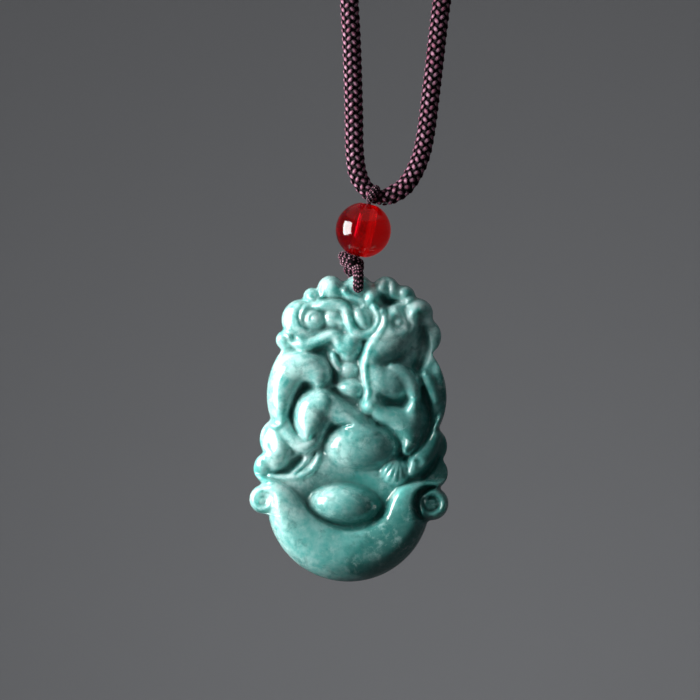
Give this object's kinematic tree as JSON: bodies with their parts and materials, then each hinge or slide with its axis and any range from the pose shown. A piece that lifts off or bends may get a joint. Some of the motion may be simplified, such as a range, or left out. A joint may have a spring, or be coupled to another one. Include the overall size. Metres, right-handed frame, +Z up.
{
  "type": "jade necklace",
  "caption": "Carved jade plaque pendant hanging on a thin cord loop under a red glass bead, on a braided neck cord joined by a knot at the nape.",
  "frame": {"origin": "underside of the knot at the nape, where the necklace hangs on the back of a neck or on a peg", "axes": "+Z up the hanging necklace, +X to the right seen from the front, and the carved face looks along -Y"},
  "size_m": [0.111, 0.0086, 0.3492],
  "materials": {
    "neck_cord": "braided dark maroon cord, with a slight sheen",
    "thin_cord": "fine braided dark maroon cord",
    "bead": "polished, deep red, translucent",
    "jade": "polished, pale green, translucent"
  },
  "bodies": {
    "root": {"neck_cord": "neck_cord", "back_knot": "neck_cord", "hanger_bight": "thin_cord", "bead": "bead", "hanger_knot": "thin_cord", "pendant_loop": "thin_cord"},
    "pendant": {"pendant": "jade"}
  },
  "joints": [
    {"name": "pendant_swing", "type": "hinge", "parent": "root", "child": "pendant", "pos_m": [-0.004, 0, -0.29975], "axis": [0, 1, 0], "range_deg": [-12, 12]}
  ]
}
